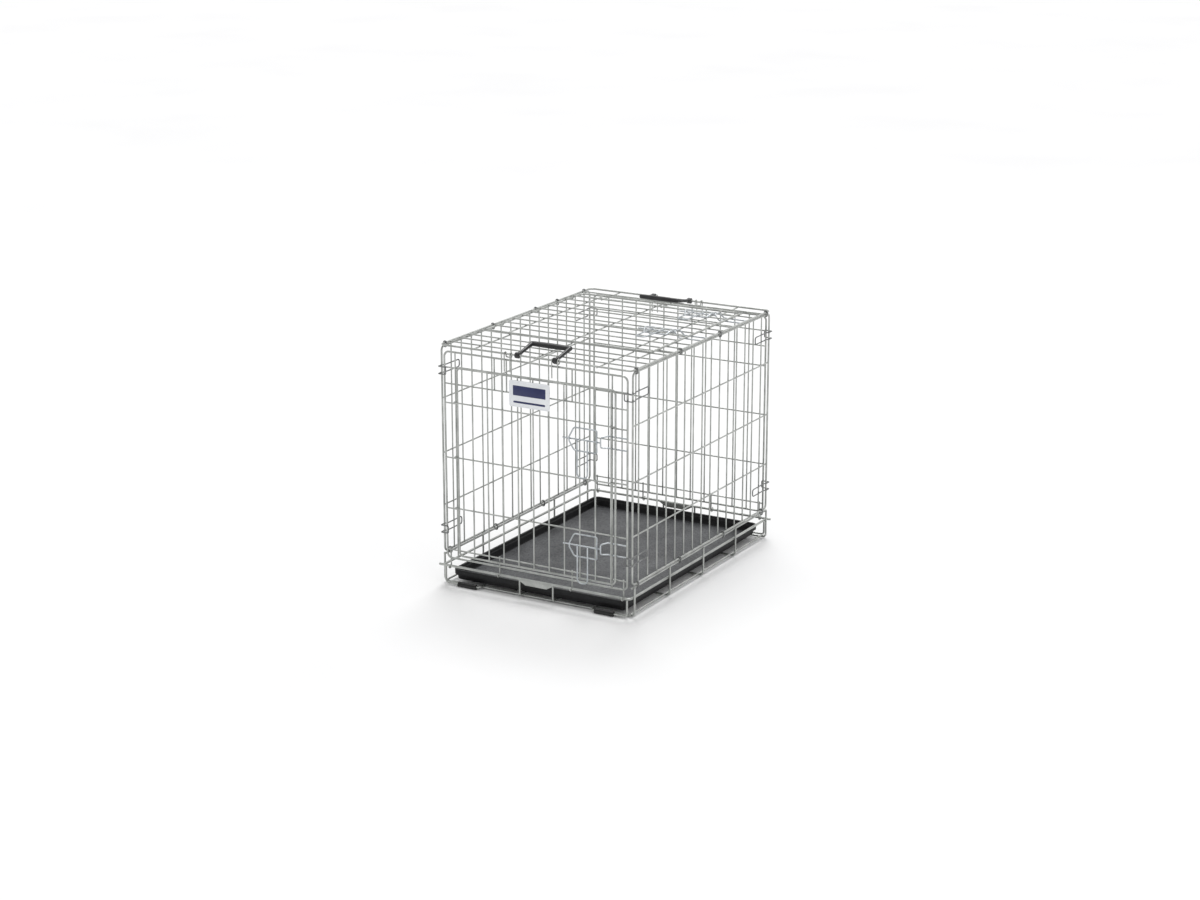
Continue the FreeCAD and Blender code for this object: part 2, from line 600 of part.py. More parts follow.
def block(body, name, rectangles, thick):
    """Rectangles in the body's xy plane, padded to both sides by a sheet thickness."""
    plane = next(f for f in body.Origin.OriginFeatures if f.Role == "XY_Plane")
    sketch = body.newObject("Sketcher::SketchObject", name + "_outline")
    sketch.AttachmentSupport = [(plane, "")]
    sketch.MapMode = "FlatFace"
    for x0, x1, y0, y1 in rectangles:
        corners = [V(x0, y0, 0), V(x1, y0, 0), V(x1, y1, 0), V(x0, y1, 0)]
        for i, corner in enumerate(corners):
            sketch.addGeometry(Part.LineSegment(corner, corners[(i + 1) % 4]), False)
    pad = body.newObject("PartDesign::Pad", name)
    pad.Profile = sketch
    pad.setExpression("Length", f"Sizes.{thick}")
    pad.Midplane = True


def carry_handle(label, place):
    """A moulded loop that turns on the top panel's end wire and lies back over the roof."""
    left, reach = size(label + "_left"), size("handle_reach")
    right = left + size("handle_span")
    half_arm, half_grip = size("handle_arm") / 2, size("grip_width") / 2
    lug_length, bore_spare, edge_round = size("lug_length"), 15.0, 3.4
    body = doc.addObject("PartDesign::Body", label + "_body")
    block(body, label + "_grip",
          [(left - half_arm, right + half_arm, reach - half_grip, reach + half_grip)], "grip_thick")
    block(body, label + "_arms", [(u - half_arm, u + half_arm, 0, reach) for u in (left, right)],
          "handle_arm")
    pieces = [body]
    for i, u in enumerate((left, right)):
        lug = doc.addObject("Part::Cylinder", f"{label}_lug_{i}")
        lug.setExpression("Radius", "Sizes.lug_dia / 2")
        lug.Height = lug_length
        lug.Placement = FreeCAD.Placement(V(u - lug_length / 2, 0, 0), ALONG_X)
        pieces.append(lug)
    blank = welded(label + "_blank", pieces, node=False)
    bore = doc.addObject("Part::Cylinder", label + "_bore")
    bore.setExpression("Radius", "Sizes.frame_dia / 2 + 0.3")
    bore.Height = right - left + 2 * bore_spare
    bore.Placement = FreeCAD.Placement(V(left - bore_spare, 0, 0), ALONG_X)
    cut = doc.addObject("Part::Cut", label + "_bored")
    cut.Base = blank
    cut.Tool = bore
    doc.recompute()
    soft = doc.addObject("Part::Fillet", label)
    soft.Base = cut
    soft.Edges = [(i + 1, edge_round, edge_round) for i, edge in enumerate(cut.Shape.Edges)
                  if edge.Length > right - left and edge.CenterOfMass.y > reach - half_grip - 0.5]
    soft.Label = label
    tilt = math.degrees(math.asin(size(label + "_rise") / reach))
    hinge = FreeCAD.Placement(V(0, -size("top_half_depth"), size("top_plane")),
                              FreeCAD.Rotation(V(1, 0, 0), tilt))
    soft.Placement = place.multiply(hinge)
    nodes.append(soft)


# ---------------------------------------------------------------- tray
def rounded_sketch(body, name, inset, level):
    """A rounded rectangle about the origin, at a height, that follows the tray's sizes."""
    plane = next(f for f in body.Origin.OriginFeatures if f.Role == "XY_Plane")
    sketch = body.newObject("Sketcher::SketchObject", name)
    sketch.AttachmentSupport = [(plane, "")]
    sketch.MapMode = "FlatFace"
    sketch.setExpression("AttachmentOffset.Base.z", level)
    r = size("tray_corner") - inset
    x, y = size("tray_half_width") - inset - r, size("tray_half_depth") - inset - r
    spots = [V(x, -y, 0), V(x, y, 0), V(-x, y, 0), V(-x, -y, 0)]
    outward = [V(1, 0, 0), V(0, 1, 0), V(-1, 0, 0), V(0, -1, 0)]
    for i, spot in enumerate(spots):
        start = (i - 1) * math.pi / 2
        circle = Part.Circle(spot, V(0, 0, 1), r)
        sketch.addGeometry(Part.ArcOfCircle(circle, start, start + math.pi / 2), False)
    for i, out in enumerate(outward):
        side = Part.LineSegment(spots[i] + out * r, spots[(i + 1) % 4] + out * r)
        sketch.addGeometry(side, False)
    for i in range(4):
        sketch.addConstraint(Sketcher.Constraint("Tangent", i, 2, i + 4, 1))
        sketch.addConstraint(Sketcher.Constraint("Tangent", i + 4, 2, (i + 1) % 4, 1))
    for i in range(1, 4):
        sketch.addConstraint(Sketcher.Constraint("Equal", 0, i))
    sketch.addConstraint(Sketcher.Constraint("Vertical", 4))
    sketch.addConstraint(Sketcher.Constraint("Horizontal", 5))
    sketch.addConstraint(Sketcher.Constraint("Symmetric", 0, 3, 2, 3, -1, 1))
    round_off = sketch.addConstraint(Sketcher.Constraint("Radius", 0, r))
    sketch.setExpression(f"Constraints[{round_off}]", f"Sizes.tray_corner - {inset}")
    across = sketch.addConstraint(Sketcher.Constraint("DistanceX", -1, 1, 0, 3, x))
    sketch.setExpression(f"Constraints[{across}]", "Sizes.tray_half_width - Sizes.tray_corner")
    along = sketch.addConstraint(Sketcher.Constraint("DistanceY", 0, 3, -1, 1, y))
    sketch.setExpression(f"Constraints[{along}]", "Sizes.tray_half_depth - Sizes.tray_corner")
    return sketch


def tray():
    """A thin moulding: a drafted block, a lip with a skirt round its rim, and a drafted well."""
    body = doc.addObject("PartDesign::Body", "tray")
    draft = size("tray_draft")
    depth = "Sizes.tray_rim - Sizes.tray_floor"
    steps = [("PartDesign::Pad", "tray_shell", 0.0, depth, True, -draft),
             ("PartDesign::Pad", "tray_lip_skirt", -size("tray_lip"), "Sizes.tray_skirt", True, 0.0),
             ("PartDesign::Pocket", "tray_well", size("tray_wall"), depth + " - Sizes.tray_wall",
              False, -draft)]
    for kind, name, inset, length, downward, taper in steps:
        feature = body.newObject(kind, name)
        feature.Profile = rounded_sketch(body, name + "_outline", inset, "Sizes.tray_rim")
        feature.setExpression("Length", length)
        feature.Reversed = downward
        feature.TaperAngle = taper
        doc.recompute()
    body.Label = "tray"
    nodes.append(body)


# ---------------------------------------------------------------- assembly
base()
sides()
front_panel()
front_door()
for name, level in FRONT_LATCHES.items():
    latch(name, FRONT, level, size("end_half_width") - 1)
sign_plate()
back_panel()
top_panel()
top_door()
for name, level in HATCH_LATCHES.items():
    latch(name, TOP, level, size("top_half_width") - 1)
top_hooks("top_hooks_front", FRONT, FRONT_ROOF_HOOKS)
top_hooks("top_hooks_back", BACK, BACK_ROOF_HOOKS)
carry_handle("front_handle", WORLD)
carry_handle("back_handle", TURNED)
tray()
doc.recompute()

for item in doc.Objects:
    if "Invalid" in item.State or "Error" in item.State:
        raise RuntimeError(f"{item.Name} failed: {item.State}")
for node in nodes:
    shape = node.Shape
    if shape.isNull() or not shape.isValid() or not shape.Solids:
        raise RuntimeError(f"{node.Label} has no valid solid")
    shape.exportStep(f"parts/{node.Label}.step")
    box = shape.BoundBox
    print(f"{node.Label:20s} solids {len(shape.Solids):2d}  volume {shape.Volume:10.0f}"
          f"  x {box.XMin:7.1f} {box.XMax:7.1f}  y {box.YMin:7.1f} {box.YMax:7.1f}"
          f"  z {box.ZMin:6.1f} {box.ZMax:6.1f}")
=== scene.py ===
"""Looks of a folding wire kennel crate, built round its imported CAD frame.

Everything is in metres in the CAD frame: +Z up, the door end faces -Y, the origin is on the
floor under the middle of the crate. The wires stay CAD nodes with coated-metal materials.
The tray, the carry handles, the foot sleeves and the sign plate are replaced by finer pieces.
"""

import bpy
import bmesh
import json
import math
from mathutils import Matrix, Vector


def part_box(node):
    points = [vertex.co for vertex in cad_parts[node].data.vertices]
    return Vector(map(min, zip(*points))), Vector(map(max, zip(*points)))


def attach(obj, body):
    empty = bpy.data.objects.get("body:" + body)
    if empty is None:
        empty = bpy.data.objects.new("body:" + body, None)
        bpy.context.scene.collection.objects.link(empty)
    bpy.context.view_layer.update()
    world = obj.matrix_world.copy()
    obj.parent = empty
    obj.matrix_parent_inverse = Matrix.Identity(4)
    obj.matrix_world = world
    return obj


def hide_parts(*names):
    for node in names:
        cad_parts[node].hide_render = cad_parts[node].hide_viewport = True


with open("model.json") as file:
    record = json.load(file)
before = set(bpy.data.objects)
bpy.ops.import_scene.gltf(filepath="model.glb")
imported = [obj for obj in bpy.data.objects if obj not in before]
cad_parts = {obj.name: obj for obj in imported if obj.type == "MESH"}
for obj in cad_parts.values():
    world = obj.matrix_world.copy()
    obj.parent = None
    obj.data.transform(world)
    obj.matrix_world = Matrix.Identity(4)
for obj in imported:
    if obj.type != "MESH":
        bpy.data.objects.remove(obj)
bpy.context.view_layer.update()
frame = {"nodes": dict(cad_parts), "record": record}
MM = 0.001


# ---------------------------------------------------------------- material tools
def new_material(name):
    """A material with an empty node tree but for its shader, and a helper that adds nodes to it."""
    material = bpy.data.materials.new(name)
    material.use_nodes = True
    tree = material.node_tree
    shader = tree.nodes["Principled BSDF"]

    def add(kind, **settings):
        node = tree.nodes.new(kind)
        for key, value in settings.items():
            setattr(node, key, value)
        return node

    def link(source, output, target, socket):
        tree.links.new(source.outputs[output], target.inputs[socket])

    return material, shader, add, link


def noise(add, link, coords, scale, detail=3.0, roughness=0.5):
    """Cloudy noise in object space."""
    node = add("ShaderNodeTexNoise")
    node.inputs["Scale"].default_value = scale
    node.inputs["Detail"].default_value = detail
    node.inputs["Roughness"].default_value = roughness
    link(coords, "Object", node, "Vector")
    return node


def cells(add, link, coords, scale, feature="F1"):
    """Voronoi cells in object space."""
    node = add("ShaderNodeTexVoronoi", feature=feature)
    node.inputs["Scale"].default_value = scale
    link(coords, "Object", node, "Vector")
    return node


def ramp(add, link, source, output, stops):
    """A colour ramp with (position, colour) stops, fed by one output."""
    node = add("ShaderNodeValToRGB")
    elements = node.color_ramp.elements
    while len(elements) < len(stops):
        elements.new(0.5)
    for element, (position, colour) in zip(elements, stops):
        element.position = position
        element.color = (*colour, 1.0)
    link(source, output, node, "Fac")
    return node


# socket numbers of the Mix node's colour inputs and colour output
MIX_A, MIX_B, MIX_RESULT = 6, 7, 2


def darkened(add, link, tone, fleck, factor):
    """One colour ramp multiplied by another, mixed in by a factor."""
    mix = add("ShaderNodeMix", data_type="RGBA", blend_type="MULTIPLY")
    mix.inputs["Factor"].default_value = factor
    link(tone, "Color", mix, MIX_A)
    link(fleck, "Color", mix, MIX_B)
    return mix


def spread(add, link, source, output, low, high):
    """A 0..1 value stretched to low..high."""
    node = add("ShaderNodeMapRange")
    node.inputs["To Min"].default_value = low
    node.inputs["To Max"].default_value = high
    link(source, output, node, "Value")
    return node


def bump(add, link, height, output, strength, distance, below=None):
    """A bump from one output, laid over another bump if there is one below."""
    node = add("ShaderNodeBump")
    node.inputs["Strength"].default_value = strength
    node.inputs["Distance"].default_value = distance
    link(height, output, node, "Height")
    if below is not None:
        link(below, "Normal", node, "Normal")
    return node


# ---------------------------------------------------------------- materials
def coated_wire():
    """Grey zinc wire under a clear coat: fine crystal mottling, dull patches and a soft ripple."""
    material, shader, add, link = new_material("coated_wire")
    coords = add("ShaderNodeTexCoord")
    patches = noise(add, link, coords, 38.0, 4.0, 0.6)
    crystal = cells(add, link, coords, 620.0)
    tone = ramp(add, link, patches, "Fac", [(0.30, (0.330, 0.341, 0.325)), (0.52, (0.430, 0.442, 0.423)),
                                            (0.72, (0.530, 0.543, 0.522))])
    fleck = ramp(add, link, crystal, "Distance", [(0.15, (0.86, 0.87, 0.87)), (0.75, (1.0, 1.0, 1.0))])
    mix = darkened(add, link, tone, fleck, 0.8)
    link(mix, MIX_RESULT, shader, "Base Color")
    gloss = spread(add, link, patches, "Fac", 0.42, 0.24)
    link(gloss, "Result", shader, "Roughness")
    shader.inputs["Metallic"].default_value = 0.80
    shader.inputs["Coat Weight"].default_value = 0.45
    shader.inputs["Coat Roughness"].default_value = 0.14
    ripple = noise(add, link, coords, 260.0, 2.0)
    soft = bump(add, link, ripple, "Fac", 0.25, 0.0004)
    fine = bump(add, link, crystal, "Distance", 0.18, 0.0002, soft)
    link(fine, "Normal", shader, "Normal")
    return material


def spring_wire():
    """Plain drawn steel wire with a bright zinc wash, slightly darker than the panels."""
    material, shader, add, link = new_material("spring_wire")
    coords = add("ShaderNodeTexCoord")
    drawn = noise(add, link, coords, 420.0, 5.0, 0.7)
    stain = noise(add, link, coords, 55.0, 3.0)
    tone = ramp(add, link, stain, "Fac", [(0.32, (0.15, 0.153, 0.155)), (0.68, (0.28, 0.285, 0.285))])
    link(tone, "Color", shader, "Base Color")
    gloss = spread(add, link, drawn, "Fac", 0.24, 0.42)
    link(gloss, "Result", shader, "Roughness")
    shader.inputs["Metallic"].default_value = 0.92
    scratch = bump(add, link, drawn, "Fac", 0.2, 0.0002)
    link(scratch, "Normal", shader, "Normal")
    return material


def zinc_wire():
    """Bright bluish zinc plate on the latches: fine spangle, drawn lines and hazy patches."""
    material, shader, add, link = new_material("zinc_wire")
    coords = add("ShaderNodeTexCoord")
    haze = noise(add, link, coords, 90.0, 4.0, 0.6)
    spangle = cells(add, link, coords, 900.0)
    tone = ramp(add, link, haze, "Fac", [(0.32, (0.40, 0.430, 0.450)), (0.70, (0.62, 0.650, 0.670))])
    fleck = ramp(add, link, spangle, "Distance", [(0.10, (0.80, 0.80, 0.80)), (0.65, (1.0, 1.0, 1.0))])
    mix = darkened(add, link, tone, fleck, 0.7)
    link(mix, MIX_RESULT, shader, "Base Color")
    gloss = spread(add, link, haze, "Fac", 0.22, 0.40)
    link(gloss, "Result", shader, "Roughness")
    shader.inputs["Metallic"].default_value = 0.88
    fine = bump(add, link, spangle, "Distance", 0.2, 0.0002)
    link(fine, "Normal", shader, "Normal")
    return material


def tray_plastic(name, dark, pale, smooth, rough):
    """Black moulded sheet with a pebbled leather grain, cloudy scuffs, painted pin-head highlights and
    painted shade at the pebbles' edges.
    """
    material, shader, add, link = new_material(name)
    coords = add("ShaderNodeTexCoord")
    pebble = cells(add, link, coords, 330.0, "SMOOTH_F1")
    cloud = noise(add, link, coords, 14.0, 4.0, 0.6)
    tone = ramp(add, link, cloud, "Fac", [(0.30, dark), (0.70, pale)])
    # painted light: each pebble's colour is lifted in its middle as a painted highlight and dimmed at its
    # edge as painted shade
    painted_pebble_highlight = ramp(add, link, pebble, "Distance", [(0.20, (1.25, 1.25, 1.25)), (0.70, (0.70, 0.70, 0.70))])
    mix = darkened(add, link, tone, painted_pebble_highlight, 0.85)
    link(mix, MIX_RESULT, shader, "Base Color")
    gloss = spread(add, link, pebble, "Distance", smooth, rough)
    link(gloss, "Result", shader, "Roughness")
    shader.inputs["Specular IOR Level"].default_value = 0.30
    grain = bump(add, link, pebble, "Distance", 0.55, 0.0006)
    dust = noise(add, link, coords, 900.0, 2.0)
    fine = bump(add, link, dust, "Fac", 0.12, 0.0002, grain)
    link(fine, "Normal", shader, "Normal")
    return material


def handle_plastic():
    """Satin black moulded plastic with a fine spark-eroded texture and handled, shinier high spots."""
    material, shader, add, link = new_material("handle_plastic")
    coords = add("ShaderNodeTexCoord")
    erode = noise(add, link, coords, 1400.0, 3.0, 0.7)
    worn = noise(add, link, coords, 60.0, 3.0)
    tone = ramp(add, link, worn, "Fac", [(0.35, (0.012, 0.012, 0.013)), (0.70, (0.026, 0.026, 0.028))])
    link(tone, "Color", shader, "Base Color")
    gloss = spread(add, link, worn, "Fac", 0.44, 0.26)
    link(gloss, "Result", shader, "Roughness")
    fine = bump(add, link, erode, "Fac", 0.25, 0.0002)
    link(fine, "Normal", shader, "Normal")
    return material


def rubber():
    """Black rubber tube, faintly dusty, with the fine lines of its extrusion along x."""
    material, shader, add, link = new_material("rubber")
    coords = add("ShaderNodeTexCoord")
    squeeze = add("ShaderNodeMapping")
    squeeze.inputs["Scale"].default_value = (0.05, 1.0, 1.0)
    link(coords, "Object", squeeze, "Vector")
    lines = add("ShaderNodeTexNoise")
    lines.inputs["Scale"].default_value = 1500.0
    lines.inputs["Detail"].default_value = 3.0
    link(squeeze, "Vector", lines, "Vector")
    dust = noise(add, link, coords, 120.0, 4.0, 0.7)
    tone = ramp(add, link, dust, "Fac", [(0.40, (0.005, 0.005, 0.005)), (0.80, (0.016, 0.016, 0.015))])
    link(tone, "Color", shader, "Base Color")
    gloss = spread(add, link, dust, "Fac", 0.30, 0.50)
    link(gloss, "Result", shader, "Roughness")
    ribs = bump(add, link, lines, "Fac", 0.3, 0.0002)
    link(ribs, "Normal", shader, "Normal")
    return material


def plate_plastic(name, dark, pale, rough):
    """Semi-gloss sheet plastic with a faint orange-peel surface and slight tonal drift."""
    material, shader, add, link = new_material(name)
    coords = add("ShaderNodeTexCoord")
    drift = noise(add, link, coords, 30.0, 3.0)
    tone = ramp(add, link, drift, "Fac", [(0.35, dark), (0.65, pale)])
    link(tone, "Color", shader, "Base Color")
    peel = noise(add, link, coords, 700.0, 2.0)
    gloss = spread(add, link, peel, "Fac", rough - 0.06, rough + 0.08)
    link(gloss, "Result", shader, "Roughness")
    soft = bump(add, link, peel, "Fac", 0.1, 0.0002)
    link(soft, "Normal", shader, "Normal")
    return material


def floor_paper():
    """A pale studio sweep with a barely visible unevenness."""
    material, shader, add, link = new_material("floor_paper")
    coords = add("ShaderNodeTexCoord")
    drift = noise(add, link, coords, 1.4, 2.0)
    tone = ramp(add, link, drift, "Fac", [(0.3, (0.86, 0.86, 0.865)), (0.7, (0.90, 0.90, 0.90))])
    link(tone, "Color", shader, "Base Color")
    shader.inputs["Roughness"].default_value = 0.75
    shader.inputs["Specular IOR Level"].default_value = 0.2
    return material


MATERIALS = {"coated_wire": coated_wire(), "spring_wire": spring_wire(), "zinc_wire": zinc_wire(),
             "tray_plastic": tray_plastic("tray_plastic", (0.005, 0.005, 0.006), (0.010, 0.010, 0.011),
                                          0.42, 0.64),
             # a much lighter copy of the tray's black plastic for its floor faces: painted light on the
             # upward-facing floor
             "tray_floor": tray_plastic("tray_floor", (0.040, 0.042, 0.045), (0.100, 0.103, 0.108),
                                        0.40, 0.66),
             "handle_plastic": handle_plastic(), "rubber": rubber(),
             "plate_plastic": plate_plastic("plate_plastic", (0.78, 0.80, 0.83), (0.86, 0.88, 0.90), 0.32),
             "ink": plate_plastic("ink", (0.010, 0.016, 0.085), (0.018, 0.026, 0.110), 0.40)}


def dress_cad_nodes():
    """Every CAD node shows its slot's material."""
    for part in frame["record"]["subparts"]:
        node = frame["nodes"][part["node"]]
        node.data.materials.clear()
        node.data.materials.append(MATERIALS[part["material_slot"]])


# ---------------------------------------------------------------- mesh tools
def piece(name, bm, slot, body, material=None):
    """A finished mesh as an object that rides on a CAD body."""
    mesh = bpy.data.meshes.new(name)
    bmesh.ops.recalc_face_normals(bm, faces=bm.faces)
    bm.to_mesh(mesh)
    bm.free()
    mesh.polygons.foreach_set("use_smooth", [True] * len(mesh.polygons))
    thing = bpy.data.objects.new(name, mesh)
    bpy.context.scene.collection.objects.link(thing)
    mesh.materials.append(MATERIALS[material or slot])
    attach(thing, body)
    return thing


def loft(bm, rings, close_start=True, close_end=True):
    """Skins a list of equal rings of points with quads, and caps the two ends."""
    loops = [[bm.verts.new(p) for p in ring] for ring in rings]
    count = len(loops[0])
    for one, two in zip(loops, loops[1:]):
        for i in range(count):
            j = (i + 1) % count
            bm.faces.new((one[i], one[j], two[j], two[i]))
    if close_start:
        bm.faces.new(list(reversed(loops[0])))
    if close_end:
        bm.faces.new(loops[-1])


def rounded_rectangle(half_x, half_y, radius, z, steps=10):
    """Points of a rounded rectangle about the origin, counter-clockwise from above."""
    corners = ((1, 1, 0), (-1, 1, 90), (-1, -1, 180), (1, -1, 270))
    points = []
    for sign_x, sign_y, start in corners:
        centre = Vector((sign_x * (half_x - radius), sign_y * (half_y - radius), z))
        for i in range(steps + 1):
            angle = math.radians(start + 90 * i / steps)
            points.append(centre + Vector((math.cos(angle), math.sin(angle), 0)) * radius)
    return points


def apply_modifiers(thing):
    """Bakes an object's modifiers into its mesh."""
    bpy.context.view_layer.update()
    graph = bpy.context.evaluated_depsgraph_get()
    mesh = bpy.data.meshes.new_from_object(thing.evaluated_get(graph))
    thing.modifiers.clear()
    thing.data = mesh


# ---------------------------------------------------------------- tray
# (how far in from the lip's outer edge, height above the tray's underside) in millimetres
TRAY_UNDER = ((60, 0.0), (8.4, 0.0), (7.6, 0.2), (7.0, 0.8), (6.7, 1.6))
TRAY_OUTSIDE = ((5.6, 8.0), (4.6, 13.5), (3.8, 18.4), (3.4, 19.1), (2.5, 19.4), (1.9, 19.1), (1.6, 18.3))
TRAY_SKIRT = ((1.6, 11.6), (1.4, 11.0), (0.9, 10.7), (0.3, 10.9), (0.05, 11.5), (0.0, 15.0), (0.0, 20.4),
              (0.25, 21.2), (0.9, 21.65), (2.0, 21.7), (4.2, 21.7))
TRAY_INSIDE = ((4.9, 21.5), (5.25, 20.9), (5.6, 18.8), (5.8, 17.0), (6.1, 16.5), (6.9, 16.2), (7.25, 15.8),
               (7.5, 14.6), (8.3, 8.0), (8.75, 4.4), (9.1, 3.2), (9.9, 2.5))
TRAY_FLOOR = ((11.2, 2.2), (22.0, 2.2), (23.2, 2.35), (24.2, 2.8), (25.4, 2.95), (60, 2.95))


def tray():
    """A formed tray: hanging skirt, rolled rim, stepped and drafted wall and a framed floor."""
    low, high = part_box("tray")
    outer_corner, least_corner = 15 * MM, 3 * MM
    section = TRAY_UNDER + TRAY_OUTSIDE + TRAY_SKIRT + TRAY_INSIDE + TRAY_FLOOR
    bm = bmesh.new()
    rings = []
    for inset, rise in section:
        inset *= MM
        z = min(low.z + rise * MM, high.z)
        radius = max(outer_corner - inset, least_corner)
        rings.append(rounded_rectangle(high.x - inset, high.y - inset, radius, z, 12))
    loft(bm, rings)
    shell = piece("tray_shell", bm, "tray_plastic", "tray")
    # the floor faces take the lighter copy of the black plastic: painted light on the upward-facing floor
    shell.data.materials.append(MATERIALS["tray_floor"])
    edge = 10 * MM
    for face in shell.data.polygons:
        spot = face.center
        inside = abs(spot.x) < high.x - edge and abs(spot.y) < high.y - edge
        if inside and low.z + 2 * MM < spot.z < low.z + 3 * MM:
            face.material_index = 1
    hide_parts("tray")


# ---------------------------------------------------------------- carry handles
def bar_along(bm, path, widths, heights, side, sides=20, power=2.6):
    """A tube with a superellipse section along a path; side is the section's width direction."""
    rings = []
    for i, point in enumerate(path):
        before = path[max(i - 1, 0)]
        after = path[min(i + 1, len(path) - 1)]
        heading = (after - before).normalized()
        across = heading.cross(side).normalized()
        ring = []
        for k in range(sides):
            angle = 2 * math.pi * k / sides
            c, s = math.cos(angle), math.sin(angle)
            reach_a = math.copysign(abs(c) ** (2 / power), c) * widths[i] / 2
            reach_b = math.copysign(abs(s) ** (2 / power), s) * heights[i] / 2
            ring.append(point + across * reach_a + side * reach_b)
        rings.append(ring)
    loft(bm, rings)


def tube(bm, start, stop, outer, bore, sides=32):
    """A straight tube with a bore right through it."""
    axis = (stop - start).normalized()
    one = axis.orthogonal().normalized()
    two = axis.cross(one)

    def ring(centre, radius):
        return [bm.verts.new(centre + one * (radius * math.cos(2 * math.pi * k / sides))
                             + two * (radius * math.sin(2 * math.pi * k / sides))) for k in range(sides)]
    loops = [ring(start, bore), ring(start, outer), ring(stop, outer), ring(stop, bore)]
    for a in range(4):
        one_loop, two_loop = loops[a], loops[(a + 1) % 4]
        for k in range(sides):
            j = (k + 1) % sides
            bm.faces.new((one_loop[k], one_loop[j], two_loop[j], two_loop[k]))


HANDLE = {"reach": 56 * MM, "span": 86 * MM, "bore": 2.3 * MM, "lug": 6 * MM, "lug_half": 4.4 * MM,
          "voxel": 0.5 * MM, "axis_y": -296 * MM, "axis_z": 498 * MM}
# (distance from the hinge axis, width across, thickness) of an arm, in millimetres
ARM = ((4.0, 8.6, 9.4), (7.5, 8.6, 9.2), (10.0, 8.4, 8.2), (13.0, 7.2, 6.8), (24.0, 7.0, 6.8),
       (36.0, 7.4, 7.2), (46.0, 8.2, 8.4), (54.0, 8.4, 8.6))
# (place along the grip as a share of it, width, thickness) in millimetres
GRIP = ((0.0, 7.4, 6.6), (0.02, 9.4, 8.4), (0.06, 10.4, 9.2), (0.14, 10.6, 9.4), (0.30, 11.4, 10.0),
        (0.50, 11.8, 10.3), (0.70, 11.4, 10.0), (0.86, 10.6, 9.4), (0.94, 10.4, 9.2), (0.98, 9.4, 8.4),
        (1.0, 7.4, 6.6))


def carry_handle(name, left, rise, turn):
    """One moulded loop: two knuckles round the roof wire, necked arms and a swelling grip."""
    right, reach = left + HANDLE["span"], HANDLE["reach"]
    up = Vector((0, 0, 1))
    bm = bmesh.new()
    for u in (left, right):
        tube(bm, Vector((u - HANDLE["lug_half"], 0, 0)), Vector((u + HANDLE["lug_half"], 0, 0)),
             HANDLE["lug"], HANDLE["bore"])
        path = [Vector((u, away * MM, 0)) for away, _, _ in ARM]
        bar_along(bm, path, [w * MM for _, w, _ in ARM], [t * MM for _, _, t in ARM], up)
    overhang = 3.8 * MM
    length = HANDLE["span"] + 2 * overhang
    path = [Vector((left - overhang + length * share, reach, 0)) for share, _, _ in GRIP]
    bar_along(bm, path, [w * MM for _, w, _ in GRIP], [t * MM for _, _, t in GRIP], up, 24)
    loop = piece(name + "_loop", bm, "handle_plastic", name)
    melt = loop.modifiers.new("melt", "REMESH")
    melt.mode = "VOXEL"
    melt.voxel_size = HANDLE["voxel"]
    melt.use_smooth_shade = True
    smooth = loop.modifiers.new("smooth", "SMOOTH")
    smooth.factor = 0.6
    smooth.iterations = 6
    apply_modifiers(loop)
    place = (Matrix.Rotation(turn, 4, "Z") @ Matrix.Translation((0, HANDLE["axis_y"], HANDLE["axis_z"]))
             @ Matrix.Rotation(math.asin(rise / reach), 4, "X"))
    loop.data.transform(place)
    loop.data.materials.clear()
    loop.data.materials.append(MATERIALS["handle_plastic"])
    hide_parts(name)


# ---------------------------------------------------------------- foot sleeves
# slit and slit_half are degrees; radii over skin are on the outside, the rest in the bore
SLEEVE = {"skin": 3.24 * MM, "level": 5.0 * MM, "middle_y": 300 * MM, "length": 43 * MM, "slit": 30.0,
          "slit_half": 11.0, "slit_depth": 1.6 * MM}
# (station along the sleeve as a share of its length, radius in millimetres)
SLEEVE_PROFILE = ((-0.5, 2.15), (-0.5, 4.5), (-0.497, 4.95), (-0.485, 5.25), (-0.46, 5.4), (-0.40, 5.3),
                  (0.0, 5.25), (0.40, 5.3), (0.46, 5.4), (0.485, 5.25), (0.497, 4.95), (0.5, 4.5),
                  (0.5, 2.15))


def sleeve_point(middle, station, radius, degrees):
    """A point on a sleeve: round, but flat on the floor and grooved where the tube is slit open."""
    outward = 1 if middle.y > 0 else -1
    away = abs(degrees - SLEEVE["slit"])
    if radius > SLEEVE["skin"]:
        radius -= SLEEVE["slit_depth"] * max(0.0, 1 - away / SLEEVE["slit_half"])
    angle = math.radians(degrees)
    return (middle.x + station * SLEEVE["length"], middle.y + outward * radius * math.cos(angle),
            max(middle.z + radius * math.sin(angle), 0.0))


def foot_sleeves():
    """Four slit rubber tubes, flat underneath, with softly rolled ends."""
    _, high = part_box("foot_sleeves")
    sides = 90
    bm = bmesh.new()
    for sign_x in (-1, 1):
        for sign_y in (-1, 1):
            middle = Vector((sign_x * (high.x - SLEEVE["length"] / 2), sign_y * SLEEVE["middle_y"],
                             SLEEVE["level"]))
            loops = []
            for station, radius in SLEEVE_PROFILE:
                loops.append([bm.verts.new(sleeve_point(middle, station, radius * MM, 360 * k / sides))
                              for k in range(sides)])
            for a, one in enumerate(loops):
                two = loops[(a + 1) % len(loops)]
                for k in range(sides):
                    j = (k + 1) % sides
                    bm.faces.new((one[k], one[j], two[j], two[k]))
    sleeves = piece("foot_sleeve_tubes", bm, "rubber", "root")
    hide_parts("foot_sleeves")


# ---------------------------------------------------------------- sign plate
def slab(bm, x0, x1, z0, z1, back, front, corner, soft):
    """An upright rounded slab whose front and back edges are softened."""
    middle = Vector(((x0 + x1) / 2, 0, (z0 + z1) / 2))
    half_x, half_z = (x1 - x0) / 2, (z1 - z0) / 2
    rings = []
    for inset, y in ((soft, back), (0.0, back - soft), (0.0, front + soft), (soft, front)):
        flat = rounded_rectangle(half_x - inset, half_z - inset, corner - inset, 0)
        rings.append([Vector((middle.x + p.x, y, middle.z + p.y)) for p in flat])
    loft(bm, rings)


